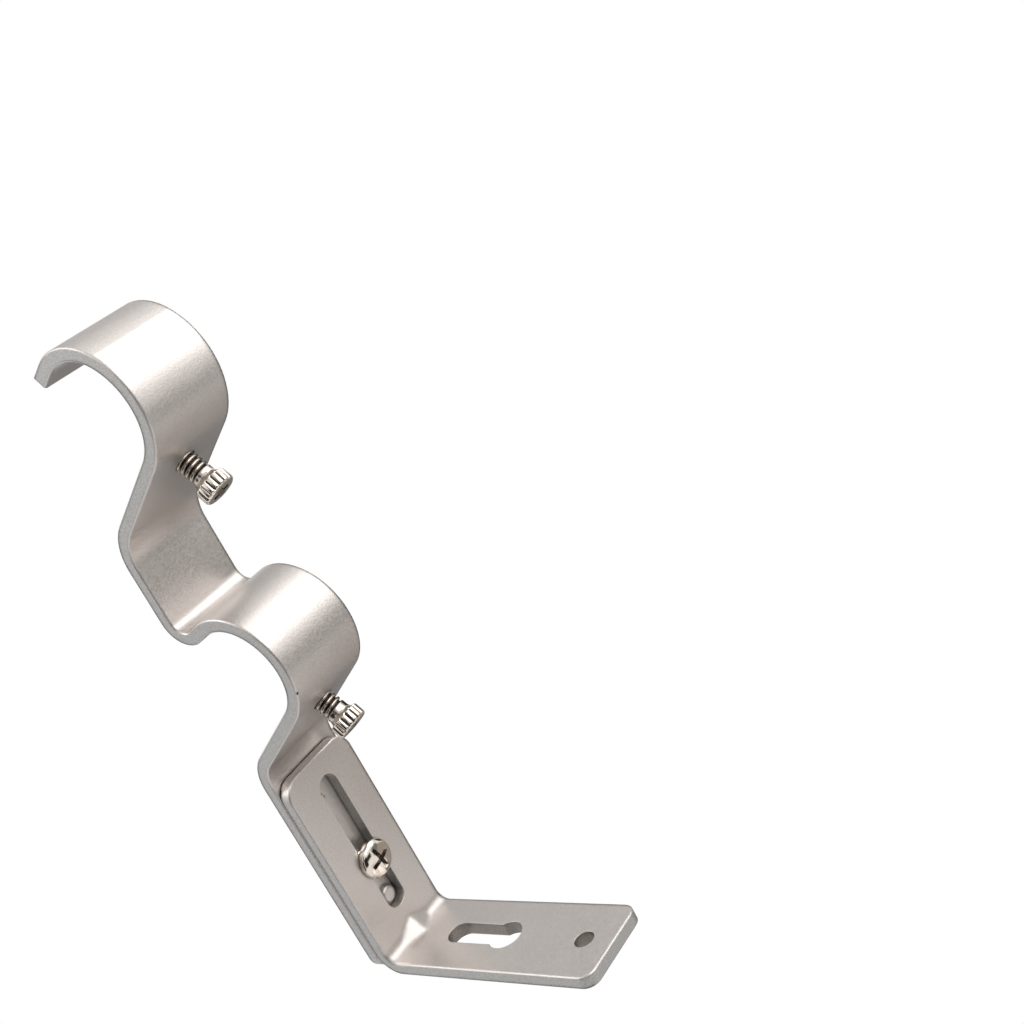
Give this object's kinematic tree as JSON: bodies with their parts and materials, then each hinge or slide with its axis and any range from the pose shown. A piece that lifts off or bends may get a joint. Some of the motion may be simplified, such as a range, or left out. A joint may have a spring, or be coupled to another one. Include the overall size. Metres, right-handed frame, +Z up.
{
  "type": "double curtain pole bracket",
  "caption": "Adjustable wall bracket of folded steel strip that holds one curtain pole in front of another, with thumb screws to grip them.",
  "frame": {"origin": "centre of the round fixing hole on the wall face", "axes": "X along the poles, +Y into the wall, the arm and the pole cradles reach out along -Y, +Z up as fixed"},
  "size_m": [0.02, 0.1461, 0.0594],
  "materials": {
    "satin_silver": "satin silver-grey metallic finish on steel strip, fine grained",
    "bright_nickel": "bright nickel plate, slightly warm"
  },
  "bodies": {
    "wall_bracket": {"wall_bracket": "satin_silver"},
    "rod_holder": {"rod_holder": "satin_silver"},
    "clamp_screw": {"clamp_screw": "bright_nickel"},
    "rear_thumb_screw": {"rear_thumb_screw": "bright_nickel"},
    "front_thumb_screw": {"front_thumb_screw": "bright_nickel"}
  },
  "joints": [
    {"name": "reach_slide", "type": "slide", "parent": "wall_bracket", "child": "rod_holder", "axis": [0, -1, 0], "range_m": [0, 0.0194]},
    {"name": "clamp_loosen", "type": "slide", "parent": "rod_holder", "child": "clamp_screw", "axis": [0, 0, -1], "range_m": [0, 0.0015]},
    {"name": "rear_grip", "type": "slide", "parent": "rod_holder", "child": "rear_thumb_screw", "axis": [0, -0.8406, 0.5417], "range_m": [-0.001, 0.0042]},
    {"name": "front_grip", "type": "slide", "parent": "rod_holder", "child": "front_thumb_screw", "axis": [0, -0.848, 0.5299], "range_m": [-0.001, 0.005]}
  ]
}
